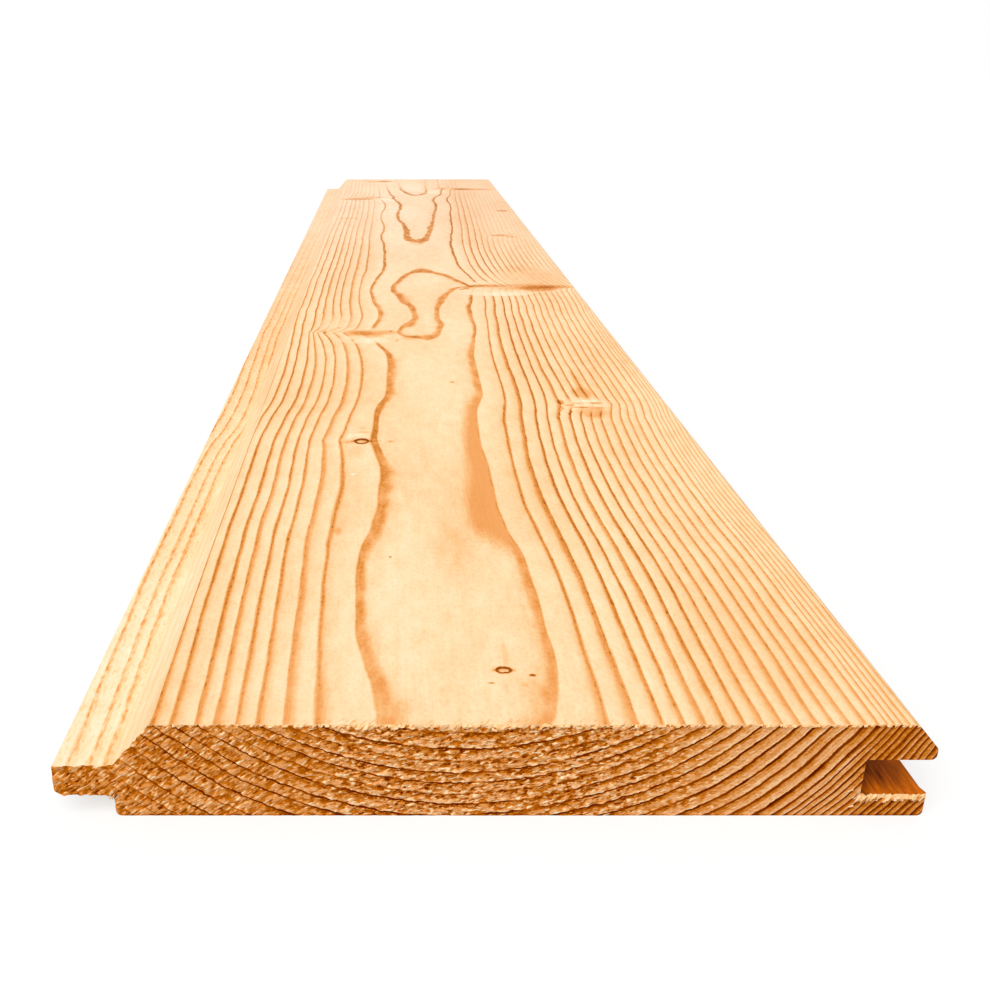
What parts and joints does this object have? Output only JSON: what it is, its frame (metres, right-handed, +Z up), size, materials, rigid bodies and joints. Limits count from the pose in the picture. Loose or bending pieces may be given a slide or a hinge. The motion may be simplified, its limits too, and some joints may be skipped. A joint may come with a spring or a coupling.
{
  "type": "tongue and groove board",
  "caption": "Planed softwood board with a tongue along one long edge, a matching groove along the other and a bevel on each side of the face, for cladding or lining.",
  "frame": {"origin": "centre of the bounding box, on the back face that the board lies on", "axes": "+X across the board from the tongue to the groove, +Y along the board away from the near end, +Z up through the face"},
  "size_m": [0.146, 0.85, 0.018],
  "materials": {
    "wood": "planed bare softwood with sawn ends"
  },
  "bodies": {
    "root": {"board": "wood"}
  },
  "joints": []
}
